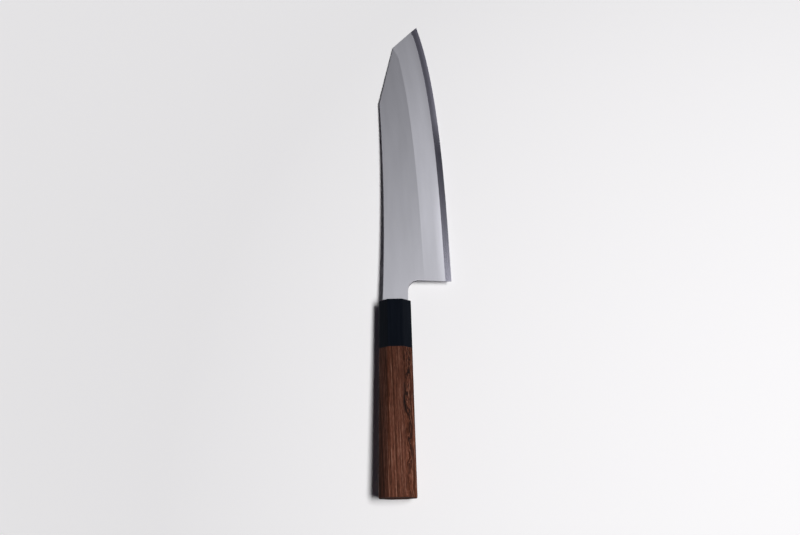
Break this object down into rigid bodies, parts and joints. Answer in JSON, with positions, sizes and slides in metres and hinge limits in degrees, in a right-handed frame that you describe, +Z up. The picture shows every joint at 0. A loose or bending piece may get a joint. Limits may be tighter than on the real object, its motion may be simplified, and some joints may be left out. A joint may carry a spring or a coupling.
{
  "type": "kiritsuke knife",
  "caption": "Kitchen knife with an angled clip tip, laminated satin blade with a polished edge band, black ferrule and tapered octagonal wooden handle, lying on its side.",
  "frame": {"origin": "middle of the knife's bounding box, on the table it lies on", "axes": "+Z up from the table, +Y from the butt of the handle to the tip, +X from the spine to the cutting edge"},
  "size_m": [0.0548, 0.3638, 0.0265],
  "materials": {
    "core_steel": "polished",
    "cladding_steel": "satin",
    "black_ferrule": "satin",
    "handle_wood": "oiled",
    "dowel_wood": "raw",
    "bedding_resin": "cured",
    "seal_wax": "matt"
  },
  "bodies": {
    "root": {"core_steel": "core_steel", "upper_cladding": "cladding_steel", "lower_cladding": "cladding_steel", "ferrule": "black_ferrule", "handle_body": "handle_wood", "upper_dowel_half": "dowel_wood", "lower_dowel_half": "dowel_wood", "tang_bedding": "bedding_resin", "mouth_seal": "seal_wax"}
  },
  "joints": []
}
